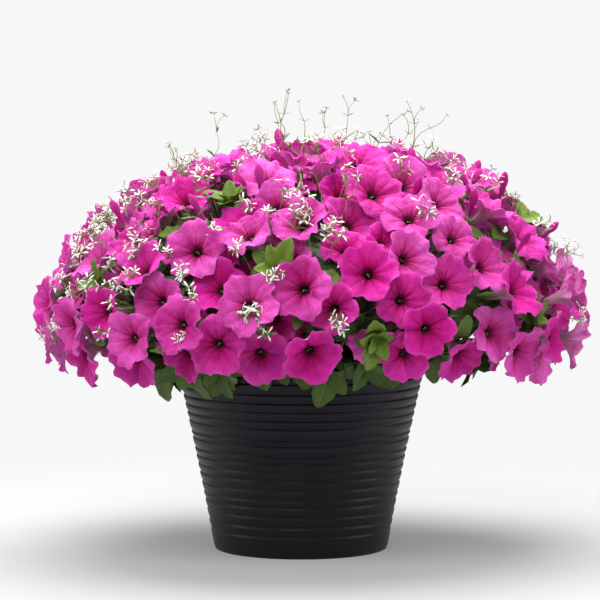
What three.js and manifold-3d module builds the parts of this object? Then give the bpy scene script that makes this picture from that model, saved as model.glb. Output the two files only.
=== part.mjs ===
// A mound of petunias with fine white euphorbia growing through it, in a ribbed plastic pot.
// Units are millimetres and +Z is up. The origin is the centre of the pot's flat base.
//
// The blooms stand on a rounded mound, spread evenly by the golden angle. Each sinks a little until its
// corolla is clear of the ones already placed, so petals lie over each other as shingles do. Neighbouring
// blooms spring from one shoot tip and make a bunch. Leafy stems carry the bunches, and thin euphorbia
// stems come up through the gaps. Leaves and stems that would cross another piece are bent clear of it.
import * as THREE from "three";
import { mergeVertices } from "three/addons/utils/BufferGeometryUtils.js";
import Module from "manifold-3d";

const wasm = await Module();
wasm.setup();

const turn = 2 * Math.PI;
const goldenAngle = Math.PI * (3 - Math.sqrt(5));
const degrees = (angle) => THREE.MathUtils.degToRad(angle);
const up = new THREE.Vector3(0, 0, 1);
const gap = 0.4; // between two pieces that touch
const tolerance = 0.04; // shorter edges than this are closed up where solids join

// ---- driving dimensions ----
const pot = {
  height: 205,
  baseRadius: 91,
  lean: 0.18, // how fast the wall widens at the base
  flare: 0.00013, // and how much faster towards the rim
  wall: 4,
  floor: 8,
  sides: 18,
  ribs: 19,
  ribDepth: 1.6,
  firstRib: 24,
  lastRib: 192,
  edge: 3, // bevel at the foot
  footHeight: 3,
  padRadius: 28,
  footInner: 74,
  lip: 1.8,
  lipHeight: 7,
  drains: 5,
  drainRadius: 6,
  drainCircle: 51,
};
const soil = { top: 184, crown: 7, holeDepth: 32, holeSides: 4 };
const mound = {
  radius: 278,
  waist: 240, // height of the widest level
  crown: 180, // from the waist up to the top
  skirt: 64, // and how far the underside curves down
  sideDroop: 0.22, // the skirt hangs lower at the two sides than at front and back
  shift: 8, // the whole mound has grown a little to the right of the pot's axis
  crownShift: 18, // and its crown further
  lastAngle: degrees(119),
};
const bloom = {
  spots: 200,
  smallest: 28,
  largest: 33,
  throatShare: 0.33, // radius of the throat, as a share of the bloom's
  throatDrop: 6.5,
  throatDepth: 24,
  backShare: 0.31,
  backDrop: 10,
  rootDepth: 7,
  notch: 0.13,
  outward: 0.3, // how far blooms face out from the mound's slope
  droop: 0.35, // how much of the slope under the waist they follow
  tilt: 0.27,
  proud: 5, // the highest blooms stand out of the mound by this much
  uneven: 6, // and the lowest start this much deeper
  sinkStep: 3,
  sinkSteps: 12,
  clearance: 2,
  settleStep: 1.5, // the last, finer sinking, until solid meets solid nowhere
  settleSteps: 10,
};
const bunch = { count: 34, depth: 72, coreRadius: 7.5, coreLength: 14, rootRing: 3.2, rootSink: 2.5 };
const stem = {
  upper: 4, // stems that carry the crown's bunches
  lower: 10, // and those that carry the side's
  crownAngle: degrees(58),
  radius: 3.6,
  branchRadius: 2.4,
  overlap: 5,
  nodeDrop: 8, // from a branch's tip down to where its shoots spring
};
const root = { lowerRing: 70, upperRing: 42, sprayRing: 18 };
const leaf = { length: 42, width: 20, thickness: 0.9, fold: 0.9, droop: 0.12, stalk: 1.15, step: 3.2 };
const tuft = { every: 9, first: 5, leaves: 3, depth: 14, size: 1, spread: 0.66 };
const fringe = { count: 16, leaves: 3, reach: 142, stagger: 36, height: 214, hang: 0.9, spread: 0.8 };
const spray = {
  every: 11,
  first: 3,
  stems: 8,
  widest: degrees(98),
  pegRadius: 2, // in the soil
  radius: 1.2,
  twigStart: 0.55,
  twigEnd: 0.65,
  low: 9, // how far a spray stands out of the mound's side
  high: 44, // and out of its top
  twigs: 4,
  twigLength: 19,
  bractLength: 7.5,
  bractWidth: 4.6,
};

// ---- a fixed draw for every index and purpose, from 0 to 1 ----
function draw(index, purpose) {
  const x = Math.sin(index * 12.9898 + purpose * 78.233 + 4.1) * 43758.5453;
  return x - Math.floor(x);
}

const swing = (index, purpose) => 2 * draw(index, purpose) - 1;

// A point moved along one or more directions, given as [direction, distance] pairs.
const moved = (p, ...moves) => moves.reduce((q, [way, far]) => q.addScaledVector(way, far), p.clone());
const polar = (r, theta, z) => new THREE.Vector3(r * Math.cos(theta), r * Math.sin(theta), z);

// ---- the mound ----
// How far out and how high its surface lies, from the crown at 0 round to the underside.
function outline(phi, theta) {
  const rise = Math.cos(phi);
  const swell = 1 + 0.026 * Math.sin(2 * theta + 0.6) + 0.018 * Math.sin(3 * theta + 2);
  const below = mound.skirt * (1 + mound.sideDroop * Math.cos(2 * theta));
  const high = mound.waist + rise * (rise > 0 ? mound.crown : below);
  return { out: mound.radius * Math.sin(phi) * swell, high };
}

function moundPoint(phi, theta) {
  const { out, high } = outline(phi, theta);
  const aside = mound.shift + mound.crownShift * Math.max(Math.cos(phi), 0);
  return polar(out, theta, high).add(new THREE.Vector3(aside, 0, 0));
}

function moundNormal(phi, theta) {
  const step = 0.03;
  const above = outline(Math.max(phi - step, 0.001), theta);
  const below = outline(phi + step, theta);
  return polar(above.high - below.high, theta, below.out - above.out).normalize();
}

// Spots spread evenly over the mound's area, each turned on by the golden angle.
function moundSpots(count) {
  const steps = 400;
  const area = [0];
  for (let i = 0; i < steps; i++) {
    const a = outline((i / steps) * mound.lastAngle, 0);
    const b = outline(((i + 1) / steps) * mound.lastAngle, 0);
    area.push(area[i] + ((a.out + b.out) / 2) * Math.hypot(b.out - a.out, b.high - a.high));
  }
  const spots = [];
  let step = 0;
  for (let i = 0; i < count; i++) {
    const wanted = ((i + 0.5) / count) * area[steps];
    while (area[step + 1] < wanted) step++;
    const share = (wanted - area[step]) / (area[step + 1] - area[step]);
    const phi = ((step + share) / steps) * mound.lastAngle;
    spots.push({ index: i, phi, theta: (i * goldenAngle) % turn });
  }
  return spots;
}

// Two directions square to an axis, turned about it by an angle.
function across(axis, angle) {
  const side = Math.abs(axis.z) < 0.9 ? up : new THREE.Vector3(1, 0, 0);
  const a = new THREE.Vector3().crossVectors(side, axis).normalize();
  const b = new THREE.Vector3().crossVectors(axis, a);
  const u = moved(new THREE.Vector3(), [a, Math.cos(angle)], [b, Math.sin(angle)]);
  return [u, new THREE.Vector3().crossVectors(axis, u)];
}

// ---- the form of one corolla: a limb of five lobes that dips into a throat ----
function rimOf(b, angle) {
  const notch = (0.5 - 0.5 * Math.cos(5 * angle)) ** 2;
  const wave = b.wave * Math.sin(2 * angle + b.phase) + 0.05 * Math.sin(3 * angle + 2 * b.phase);
  return { reach: b.radius * (1 - bloom.notch * notch), rise: b.radius * (wave - b.curl * (1 - notch)) };
}

function limbRise(b, share, angle) {
  const throat = bloom.throatShare;
  const dip =
    share > throat
      ? (-bloom.throatDrop * (1 - share)) / (1 - throat)
      : -bloom.throatDepth + ((bloom.throatDepth - bloom.throatDrop) * share) / throat;
  return dip + share * share * rimOf(b, angle).rise;
}

const onBloom = (b, reach, angle, rise) =>
  moved(b.centre, [b.u, reach * Math.cos(angle)], [b.v, reach * Math.sin(angle)], [b.axis, rise]);

// Whether a point lies in a bloom's limb or tube, or within a margin of them.
function nearBloom(p, b, margin) {
  const d = p.clone().sub(b.centre);
  if (d.length() > bunch.depth + 40) return false;
  const x = d.dot(b.u);
  const y = d.dot(b.v);
  const share = Math.hypot(x, y) / b.radius;
  const rise = d.dot(b.axis) - limbRise(b, Math.min(share, 1), Math.atan2(y, x));
  if (share < 1.06 && Math.abs(rise) < margin) return true;
  const tube = b.root.clone().sub(b.centre);
  const along = THREE.MathUtils.clamp(d.dot(tube) / tube.lengthSq(), 0.08, 1);
  const thick = 1.5 + 8 * (1 - along) ** 1.4;
  return d.distanceTo(tube.multiplyScalar(along)) < thick + margin;
}

function bloomPoints(b) {
  const points = [0.3, 0.55].map((along) => b.centre.clone().lerp(b.root, along));
  for (let k = 0; k < 10; k++) {
    const angle = (k * turn) / 10;
    const reach = rimOf(b, angle).reach;
    for (const share of [1, 0.65]) points.push(onBloom(b, reach * share, angle, limbRise(b, share, angle)));
  }
  return points;
}

// ---- where everything stands ----
function makeBunches() {
  return moundSpots(bunch.count).map((spot) => {
    const axis = moundNormal(spot.phi, spot.theta);
    const face = moundPoint(spot.phi, spot.theta);
    return { ...spot, axis, face, foot: moved(face, [axis, -bunch.depth]) };
  });
}

const nearestBunch = (p) => bunches.reduce((a, b) => (b.face.distanceTo(p) < a.face.distanceTo(p) ? b : a));

function kindOf(i, phi) {
  if (i % tuft.every === tuft.first) return "tuft";
  return i % spray.every === spray.first && phi < spray.widest ? "spray" : "bloom";
}

function makeSpots() {
  return moundSpots(bloom.spots).map(({ index, phi: evenPhi, theta: evenTheta }) => {
    const ring = Math.max(mound.radius * Math.sin(evenPhi), 30);
    const phi = evenPhi + (6 * swing(index, 1)) / mound.radius;
    const theta = evenTheta + (7 * swing(index, 2)) / ring;
    const face = moundPoint(phi, theta);
    const normal = moundNormal(phi, theta);
    const facing = normal.clone().setZ(normal.z < 0 ? bloom.droop * normal.z : normal.z).normalize();
    return { index, phi, theta, face, normal, facing, kind: kindOf(index, phi), bunch: nearestBunch(face) };
  });
}

function makeBloom(spot) {
  const i = spot.index;
  const core = spot.bunch;
  const [across1, across2] = across(spot.normal, 0);
  const tilt = bloom.tilt * (1 + Math.max(0, Math.cos(spot.phi)));
  const turns = [[across1, tilt * swing(i, 3)], [across2, tilt * swing(i, 4)]];
  const outward = [polar(1, spot.theta, 0), bloom.outward * Math.sin(spot.phi)];
  const axis = moved(spot.facing, outward, ...turns).normalize();
  const [u, v] = across(axis, turn * draw(i, 5));
  const aside = spot.face.clone().sub(core.face);
  const away = moved(aside, [core.axis, -aside.dot(core.axis)]).normalize();
  const root = moved(core.foot, [core.axis, bunch.coreLength - bunch.rootSink], [away, bunch.rootRing]);
  const radius = bloom.smallest + (bloom.largest - bloom.smallest) * draw(i, 6);
  const shape = { wave: 0.06 + 0.07 * draw(i, 7), phase: turn * draw(i, 8), curl: 0.02 + 0.1 * draw(i, 9) };
  return { index: i, spot, bunch: core, axis, u, v, root, radius, ...shape, centre: spot.face.clone() };
}

function bloomsTouch(a, b) {
  if (a.centre.distanceTo(b.centre) > 2.4 * bloom.largest) return false;
  const near = (one, other) => bloomPoints(one).some((p) => nearBloom(p, other, bloom.clearance));
  return near(a, b) || near(b, a);
}

function makeBlooms() {
  const wanted = spots.filter((s) => s.kind === "bloom").map(makeBloom);
  wanted.sort((a, b) => draw(a.index, 10) - draw(b.index, 10));
  const placed = [];
  for (const b of wanted)
    for (let k = 0; k <= bloom.sinkSteps; k++) {
      const rise = bloom.proud - bloom.uneven * draw(b.index, 12) - k * bloom.sinkStep;
      b.centre = moved(b.spot.face, [b.spot.facing, rise]);
      if (placed.some((other) => bloomsTouch(b, other))) continue;
      placed.push(b);
      break;
    }
  return placed.sort((a, b) => a.index - b.index);
}

const bunches = makeBunches();
const spots = makeSpots();
const blooms = makeBlooms();

// ---- solids ----
function solidFrom(points, triangles) {
  const vertProperties = new Float32Array(points.flatMap((p) => [p.x, p.y, p.z]));
  const triVerts = new Uint32Array(triangles);
  return new wasm.Manifold(new wasm.Mesh({ numProp: 3, vertProperties, triVerts, tolerance }));
}

function solidOf(geometry) {
  geometry.deleteAttribute("normal");
  geometry.deleteAttribute("uv");
  const merged = mergeVertices(geometry, 1e-3);
  const vertProperties = merged.attributes.position.array;
  const triVerts = new Uint32Array(merged.index.array);
  return new wasm.Manifold(new wasm.Mesh({ numProp: 3, vertProperties, triVerts, tolerance }));
}

const join = (solids) => solids.reduce((whole, s) => whole.add(s));

// The triangles of the largest closed shell. Small hollows sealed among fused pieces are filled that way.
function outerShell(numVert, triVerts) {
  const parent = Array.from({ length: numVert }, (_, i) => i);
  const top = (i) => {
    while (parent[i] !== i) i = parent[i] = parent[parent[i]];
    return i;
  };
  for (let t = 0; t < triVerts.length; t += 3)
    for (const k of [1, 2]) parent[top(triVerts[t + k])] = top(triVerts[t]);
  const shells = new Map();
  for (let t = 0; t < triVerts.length; t += 3) {
    const shell = top(triVerts[t]);
    if (!shells.has(shell)) shells.set(shell, []);
    shells.get(shell).push(...triVerts.subarray(t, t + 3));
  }
  return [...shells.values()].reduce((a, b) => (b.length > a.length ? b : a));
}

function meshOf(name, solid, material) {
  const { numProp, numVert, vertProperties, triVerts } = solid.getMesh();
  const position = new Float32Array(numVert * 3);
  for (let i = 0; i < numVert; i++) {
    const from = i * numProp;
    position.set(vertProperties.subarray(from, from + 3), i * 3);
  }
  let geometry = new THREE.BufferGeometry().setAttribute("position", new THREE.BufferAttribute(position, 3));
  geometry.setIndex(outerShell(numVert, triVerts));
  geometry = mergeVertices(geometry.toNonIndexed(), 1e-5);
  geometry.computeVertexNormals();
  const mesh = new THREE.Mesh(geometry, material);
  mesh.name = name;
  return mesh;
}

// Rings of points joined one to the next. A ring of one point is a tip, and a wider end ring is capped.
function loft(rings) {
  const n = Math.max(...rings.map((ring) => ring.length));
  const first = [];
  const points = [];
  for (const ring of rings) {
    first.push(points.length);
    points.push(...ring);
  }
  const at = (r, k) => first[r] + (rings[r].length === 1 ? 0 : k % n);
  const faces = [];
  for (let r = 0; r + 1 < rings.length; r++)
    for (let k = 0; k < n; k++) {
      if (rings[r].length > 1) faces.push(at(r, k), at(r, k + 1), at(r + 1, k + 1));
      if (rings[r + 1].length > 1) faces.push(at(r, k), at(r + 1, k + 1), at(r + 1, k));
    }
  const end = rings.length - 1;
  for (let k = 1; k + 1 < n; k++) {
    if (rings[0].length > 1) faces.push(at(0, 0), at(0, k + 1), at(0, k));
    if (rings[end].length > 1) faces.push(at(end, 0), at(end, k), at(end, k + 1));
  }
  return solidFrom(points, faces);
}

// The rings of a rod of few sides. Its last face may be square to a direction of its own.
function rodRings(points, radius, sides, endWay) {
  const last = points.length - 1;
  let u = null;
  return points.map((p, n) => {
    const way = points[Math.min(n + 1, last)].clone().sub(points[Math.max(n - 1, 0)]).normalize();
    if (n === last && endWay) way.copy(endWay);
    u = u ? moved(u, [way, -u.dot(way)]).normalize() : across(way, 0)[0];
    const v = new THREE.Vector3().crossVectors(way, u);
    const corner = (a) => moved(p, [u, radius * Math.cos(a)], [v, radius * Math.sin(a)]);
    return Array.from({ length: sides }, (_, k) => corner((k * turn) / sides));
  });
}

const rod = (...form) => loft(rodRings(...form));

// ---- what stands where, so that nothing crosses a piece of another node ----
const standing = [];

function boxOf(solid) {
  const { min, max } = solid.boundingBox();
  return new THREE.Box3(new THREE.Vector3(...min), new THREE.Vector3(...max));
}

function isClear(solid, owner) {
  const box = boxOf(solid);
  const near = standing.filter((s) => s.owner !== owner && s.box.intersectsBox(box));
  return near.every((s) => s.solid.intersect(solid).isEmpty());
}

function stand(solid, owner) {
  standing.push({ solid, owner, box: boxOf(solid) });
  return solid;
}

// The first of several tries that is clear of the other nodes, or nothing.
function firstClear(owner, tries, make) {
  for (let k = 0; k < tries; k++) {
    const solid = make(k);
    if (isClear(solid, owner)) return stand(solid, owner);
  }
  return null;
}

// ---- pot ----
const potRadius = (z) => pot.baseRadius + pot.lean * z + pot.flare * z * z;
const insideRadius = (z) => potRadius(z) - pot.ribDepth - pot.wall;

function lathe(profile) {
  const points = profile.map(([r, z]) => new THREE.Vector2(r, z));
  return solidOf(new THREE.LatheGeometry(points, pot.sides).rotateX(Math.PI / 2));
}

function prism(r, theta, radius, low, high, sides) {
  return rod([polar(r, theta, low), polar(r, theta, high)], radius, sides);
}

function potSolid() {
  const profile = [[0, 0], [pot.padRadius, 0], [pot.padRadius + 2, pot.footHeight]];
  profile.push([pot.footInner - 2, pot.footHeight], [pot.footInner, 0]);
  profile.push([pot.baseRadius - pot.edge, 0], [potRadius(pot.edge), pot.edge]);
  const pitch = (pot.lastRib - pot.firstRib) / (pot.ribs - 1);
  for (let k = 0; k < pot.ribs; k++) {
    const z = pot.firstRib + pitch * (k + 0.22 * swing(k, 20));
    const depth = pot.ribDepth * (0.7 + 0.3 * draw(k, 21)) * Math.min(1, 0.55 + 0.04 * k);
    profile.push([potRadius(z) - depth, z], [potRadius(z + 0.35 * pitch), z + 0.35 * pitch]);
  }
  const lipFoot = pot.height - pot.lipHeight;
  profile.push([potRadius(lipFoot), lipFoot], [potRadius(lipFoot + 1.5) + pot.lip, lipFoot + 1.5]);
  profile.push([potRadius(pot.height) + pot.lip, pot.height - 2], [potRadius(pot.height), pot.height]);
  profile.push([insideRadius(pot.height), pot.height], [insideRadius(pot.height / 2), pot.height / 2]);
  profile.push([insideRadius(pot.floor), pot.floor], [0, pot.floor]);
  let solid = lathe(profile);
  for (let k = 0; k < pot.drains; k++) {
    const theta = ((k + 0.5) * turn) / pot.drains;
    solid = solid.subtract(prism(pot.drainCircle, theta, pot.drainRadius, -5, pot.floor + 5, 6));
  }
  return solid;
}

function soilSolid(pegs) {
  const r = (z) => {
    const half = pot.height / 2;
    const [low, high] = z < half ? [pot.floor, half] : [half, pot.height];
    return THREE.MathUtils.mapLinear(z, low, high, insideRadius(low), insideRadius(high)) - 2 * gap;
  };
  const low = pot.floor + gap;
  const profile = [[0, low], [r(low), low], [r(pot.height / 2), pot.height / 2], [r(soil.top), soil.top]];
  profile.push([0, soil.top + soil.crown]);
  return pegs.reduce((whole, { r: ring, theta, radius, low: foot }) => {
    return whole.subtract(prism(ring, theta, radius, foot - gap, pot.height, soil.holeSides));
  }, lathe(profile));
}

// ---- one corolla: ten points round the rim, five round the throat and five behind ----
function bloomSolid(b) {
  const points = [];
  for (let k = 0; k < 10; k++) {
    const angle = (k * turn) / 10;
    const { reach, rise } = rimOf(b, angle);
    points.push(onBloom(b, reach, angle, rise));
  }
  const ring = (share, drop) => {
    for (let k = 0; k < 5; k++) points.push(onBloom(b, b.radius * share, (k * turn) / 5, -drop));
  };
  ring(bloom.throatShare, bloom.throatDrop);
  ring(bloom.backShare, bloom.backDrop);
  const tube = b.centre.clone().sub(b.root).normalize();
  points.push(onBloom(b, 0, 0, -bloom.throatDepth), moved(b.root, [tube, -bloom.rootDepth]));
  const rim = (k) => k % 10;
  const throat = (k) => 10 + (k % 5);
  const back = (k) => 15 + (k % 5);
  const apex = 20;
  const foot = 21;
  const faces = [];
  for (let k = 0; k < 5; k++) {
    faces.push(throat(k), rim(2 * k), rim(2 * k + 1), throat(k), rim(2 * k + 1), throat(k + 1));
    faces.push(throat(k + 1), rim(2 * k + 1), rim(2 * k + 2), apex, throat(k), throat(k + 1));
    faces.push(back(k), rim(2 * k + 1), rim(2 * k), back(k), back(k + 1), rim(2 * k + 1));
    faces.push(back(k + 1), rim(2 * k + 2), rim(2 * k + 1), back(k), foot, back(k + 1));
  }
  return solidFrom(points, faces);
}

// ---- a leaf: folded along its midrib, drooping towards the tip ----
function leafRings(base, way, face, size) {
  const along = way.clone().normalize();
  const side = new THREE.Vector3().crossVectors(face, along).normalize();
  const top = new THREE.Vector3().crossVectors(along, side);
  const length = leaf.length * size;
  const midrib = (share) => moved(base, [along, share * length], [top, -leaf.droop * share * share * length]);
  const ring = (share, width) => {
    const edge = (s) => moved(midrib(share), [side, (s * width * size) / 2], [top, leaf.fold]);
    return [edge(1), edge(-1), moved(midrib(share), [top, -leaf.thickness])];
  };
  return [ring(0.48, leaf.width), ring(0.78, 0.74 * leaf.width), [midrib(1)]];
}

// A ring of three turned on by whole corners, so that it follows the ring before it with the least twist.
function untwisted(ring, before) {
  const stretch = (k) => before.reduce((sum, p, n) => sum + p.distanceTo(ring[(n + k) % 3]), 0);
  const best = [0, 1, 2].reduce((a, b) => (stretch(b) < stretch(a) ? b : a));
  return before.map((_, n) => ring[(n + best) % 3]);
}

// A side shoot: a stalk along its points that runs on into its end leaf, with more leaves behind that.
function shootSolid(points, leaves, forward, spread, size, i) {
  const stalk = rodRings(points, leaf.stalk, 3);
  const end = points[points.length - 1];
  const inward = points[points.length - 2].clone().sub(end).normalize();
  const blades = Array.from({ length: leaves }, (_, n) => {
    const [u] = across(forward, n * 0.4 * turn + turn * draw(i, 30));
    const way = moved(forward, [u, spread * (0.8 + 0.4 * draw(i, 31 + n))]);
    const base = moved(end, [inward, leaf.step * n]);
    return [[base], ...leafRings(base, way, moved(forward, [u, -1]), size * (0.85 + 0.3 * draw(i, 35 + n)))];
  });
  const [, wide, narrow, tip] = blades.shift();
  const first = untwisted(wide, stalk[stalk.length - 1]);
  return join([loft([...stalk, first, untwisted(narrow, first), tip]), ...blades.map(loft)]);
}

// ---- bunches of blooms ----
const petalPink = new THREE.MeshStandardMaterial({ color: 0xd6329c, roughness: 0.6 });
const leafGreen = new THREE.MeshStandardMaterial({ color: 0x4b6a22, roughness: 0.6 });
const bractWhite = new THREE.MeshStandardMaterial({ color: 0xeef0e2, roughness: 0.7 });
const potGrey = new THREE.MeshStandardMaterial({ color: 0x222126, roughness: 0.5 });
const soilBrown = new THREE.MeshStandardMaterial({ color: 0x3a2a1e, roughness: 0.95 });

const numbered = (name, k) => name + "_" + String(k + 1).padStart(2, "0");

// The short core that a bunch's blooms spring from. All the cores stand before the first bloom does.
function makeHead(core) {
  const name = numbered("bloom_bunch", core.index);
  const top = moved(core.foot, [core.axis, bunch.coreLength]);
  return { name, core, solids: [stand(rod([core.foot, top], bunch.coreRadius, 4), name)] };
}

function addBlooms({ name, core, solids }) {
  for (const b of blooms.filter((one) => one.bunch === core)) {
    const start = b.centre;
    const solid = firstClear(name, bloom.settleSteps, (k) => {
      b.centre = moved(start, [b.spot.facing, -bloom.settleStep * k]);
      return bloomSolid(b);
    });
    if (solid) solids.push(solid);
  }
}

// ---- leafy stems ----
// Neighbours round the mound, cut into runs of nearly equal length, each with its own turn round the pot.
function runsRound(list, count) {
  const sorted = [...list].sort((a, b) => a.theta - b.theta);
  return Array.from({ length: count }, (_, k) => {
    const [from, to] = [k, k + 1].map((n) => Math.round((n * sorted.length) / count));
    return { members: sorted.slice(from, to), theta: ((k + 0.5) * turn) / count };
  });
}

const pegs = [];

function pegAt(r, theta, radius) {
  const low = soil.top - soil.holeDepth;
  pegs.push({ r, theta, radius: radius + 3 * gap, low });
  return [polar(r, theta, low + gap), polar(r, theta, soil.top + 12), polar(r, theta, soil.top + 26)];
}

// The branch under a bunch. Shoots spring from its own middle line, a little below its tip.
function branchTo(core, fork, k) {
  const [u] = across(core.axis, k * goldenAngle);
  const end = moved(core.foot, [core.axis, -gap]);
  const middle = moved(fork.clone().lerp(end, 0.55), [core.axis, -7], [u, 4 * Math.ceil(k / 2)]);
  core.node = end.clone().lerp(middle, stem.nodeDrop / end.distanceTo(middle));
  return rod([fork, middle, end], stem.branchRadius, 3, core.axis);
}

function tuftAt(spot, k) {
  const { foot: tip, axis, node: from } = spot.bunch;
  const base = moved(spot.face, [spot.normal, -tuft.depth - 3 * (k % 4)]);
  const aside = base.clone().sub(from);
  aside.addScaledVector(axis, -aside.dot(axis)).normalize();
  const bow = moved(tip, [axis, 3], [aside, bunch.coreRadius + 4 + 2 * (k % 3)]);
  return shootSolid([from, bow, base], tuft.leaves, spot.normal, tuft.spread, tuft.size, spot.index + 50 * k);
}

function fringeAt(i, from, k) {
  const theta = ((i + 0.3 * swing(i, 41)) * turn) / fringe.count + 0.04 * k;
  const reach = fringe.reach + fringe.stagger * (i % 2) + 6 * swing(i, 42);
  const base = polar(reach, theta, fringe.height + 8 * swing(i, 43) + 2 * (k % 3));
  const forward = polar(1, theta, -fringe.hang).normalize();
  const bow = moved(from.clone().lerp(base, 0.5), [up, 4]);
  return shootSolid([from, bow, base], fringe.leaves, forward, fringe.spread, 1, 300 + i + 50 * k);
}

function makeStem({ members: cores, theta, ring }, name) {
  const middle = new THREE.Vector3();
  for (const core of cores) middle.addScaledVector(core.foot, 1 / cores.length);
  const peg = pegAt(ring, theta, stem.radius);
  const fork = moved(peg[2].clone().lerp(middle, 0.42), [up, 8]);
  const back = peg[2].clone().sub(fork).normalize();
  const solids = [stand(rod([...peg, fork], stem.radius, 4), name)];
  for (const core of cores) {
    const branch = firstClear(name, 24, (k) => branchTo(core, moved(fork, [back, stem.overlap]), k));
    if (branch) solids.push(branch);
  }
  return { name, solids, cores, fork };
}

function addTufts(plant) {
  for (const spot of spots.filter((one) => one.kind === "tuft" && plant.cores.includes(one.bunch))) {
    const solid = firstClear(plant.name, 16, (k) => tuftAt(spot, k));
    if (solid) plant.solids.push(solid);
  }
}

function addFringe() {
  const holds = plants.flatMap((plant) => plant.cores.map((core) => ({ plant, from: core.node })));
  for (let i = 0; i < fringe.count; i++) {
    const spot = polar(fringe.reach, (i * turn) / fringe.count, fringe.height + 20);
    const near = holds.reduce((a, b) => (b.from.distanceTo(spot) < a.from.distanceTo(spot) ? b : a));
    const solid = firstClear(near.plant.name, 10, (k) => fringeAt(i, near.from, k));
    if (solid) near.plant.solids.push(solid);
  }
}

// ---- euphorbia ----
const triangleRing = (mid, u, v, wide, thick) => [
  moved(mid, [u, wide]),
  moved(mid, [v, thick]),
  moved(mid, [u, -wide], [v, -thick / 2]),
];

// A thin twig that widens into a white bract at its end.
function twigSolid(start, way, length, i) {
  const [u, v] = across(way, turn * draw(i, 70));
  const end = moved(start, [way, length]);
  const blade = moved(end, [way, 0.55 * spray.bractLength], [v, 0.1 * spray.bractLength]);
  const stalk = [[start, spray.twigStart], [end, spray.twigEnd]].map(([p, r]) => triangleRing(p, u, v, r, r));
  const widest = triangleRing(blade, u, v, spray.bractWidth / 2, 0.5);
  return loft([...stalk, widest, [moved(end, [way, spray.bractLength])]]);
}

function spraySolid(spot, fork, k) {
  const i = spot.index;
  const rise = Math.max(0, Math.cos(spot.phi)) * (0.6 + 0.5 * draw(i, 60));
  const height = spray.low + (spray.high - spray.low) * rise;
  const lean = moved(spot.normal, [up, 0.5], [across(spot.normal, turn * draw(i, 61))[0], 0.3]).normalize();
  const [u] = across(spot.normal, k * goldenAngle);
  const under = moved(spot.face, [spot.normal, -34], [u, 1.5 * k]);
  const tip = moved(spot.face, [lean, height], [u, 0.8 * k]);
  const back = under.clone().sub(tip).normalize();
  const solids = [rod([fork, fork.clone().lerp(under, 0.6), under, tip], spray.radius, 3)];
  for (let n = 0; n < spray.twigs; n++) {
    const [w] = across(lean, n * 0.38 * turn + turn * draw(i, 62));
    const start = moved(tip, [back, 1 + (n * (height + 4)) / spray.twigs]);
    const way = moved(lean, [w, 0.75]).normalize();
    solids.push(twigSolid(start, way, spray.twigLength * (0.7 + 0.5 * draw(i, 63 + n)), i + n));
  }
  return join(solids);
}

function makeSpray({ members, theta }, name) {
  const peg = pegAt(root.sprayRing, theta, spray.pegRadius);
  const fork = polar(root.sprayRing, theta, soil.top + 22);
  const solids = [stand(rod([peg[0], fork], spray.pegRadius, 4), name)];
  for (const spot of members) {
    const start = moved(fork, [up, -3 - 6 * members.indexOf(spot)]);
    const solid = firstClear(name, 14, (k) => spraySolid(spot, start, k));
    if (solid) solids.push(solid);
  }
  return { name, solids };
}

// ---- the whole plant in its pot ----
const part = new THREE.Group();
const potted = potSolid();
stand(potted, "pot");
const heads = bunches.map(makeHead);
heads.forEach(addBlooms);
const upper = bunches.filter((core) => core.phi < stem.crownAngle);
const lower = bunches.filter((core) => core.phi >= stem.crownAngle);
const plants = [
  ...runsRound(upper, stem.upper).map((run) => ({ ...run, ring: root.upperRing })),
  ...runsRound(lower, stem.lower).map((run) => ({ ...run, ring: root.lowerRing })),
].map((run, k) => makeStem(run, numbered("petunia_stem", k)));
plants.forEach(addTufts);
addFringe();
const exits = spots.filter((spot) => spot.kind === "spray");
const sprays = runsRound(exits, spray.stems).map((run, k) => makeSpray(run, numbered("euphorbia_spray", k)));

part.add(meshOf("pot", potted, potGrey), meshOf("soil", soilSolid(pegs), soilBrown));
for (const { name, solids } of heads) part.add(meshOf(name, join(solids), petalPink));
for (const { name, solids } of plants) part.add(meshOf(name, join(solids), leafGreen));
for (const { name, solids } of sprays) part.add(meshOf(name, join(solids), bractWhite));

export default part;
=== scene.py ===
# A mound of rose-pink petunias with fine white euphorbia, in a ribbed charcoal pot.
# Forms are laid out in millimetres and scaled to metres as each piece is finished.
import math
from types import SimpleNamespace

import bmesh
import bpy
import numpy as np
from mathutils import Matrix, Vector


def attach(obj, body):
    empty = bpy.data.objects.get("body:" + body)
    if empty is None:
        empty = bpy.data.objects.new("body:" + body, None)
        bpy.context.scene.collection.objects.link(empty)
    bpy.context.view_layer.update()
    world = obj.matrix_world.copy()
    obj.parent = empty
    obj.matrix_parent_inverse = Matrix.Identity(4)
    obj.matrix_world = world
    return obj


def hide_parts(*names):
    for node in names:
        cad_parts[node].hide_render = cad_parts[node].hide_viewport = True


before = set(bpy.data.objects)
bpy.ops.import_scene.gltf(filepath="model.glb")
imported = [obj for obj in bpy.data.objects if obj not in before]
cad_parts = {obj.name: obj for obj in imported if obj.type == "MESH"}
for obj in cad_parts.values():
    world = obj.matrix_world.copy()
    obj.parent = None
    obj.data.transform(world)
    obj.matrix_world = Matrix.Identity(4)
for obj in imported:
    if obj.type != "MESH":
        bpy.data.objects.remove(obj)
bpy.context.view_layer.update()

mm = 0.001
turn = 2 * math.pi
goldenAngle = math.pi * (3 - math.sqrt(5))
up = np.array([0.0, 0.0, 1.0])


# A fixed draw from 0 to 1 for every index and purpose. A purpose is only a number that no other use has.
def draw(index, purpose):
    x = math.sin(index * 12.9898 + purpose * 78.233 + 4.1) * 43758.5453
    return x - math.floor(x)


def swing(index, purpose):
    return 2 * draw(index, purpose) - 1


def between(low, high, index, purpose):
    return low + (high - low) * draw(index, purpose)


def unit(v):
    return v / math.sqrt(v @ v)


def polar(r, theta, z):
    return np.array([r * math.cos(theta), r * math.sin(theta), z])


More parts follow.
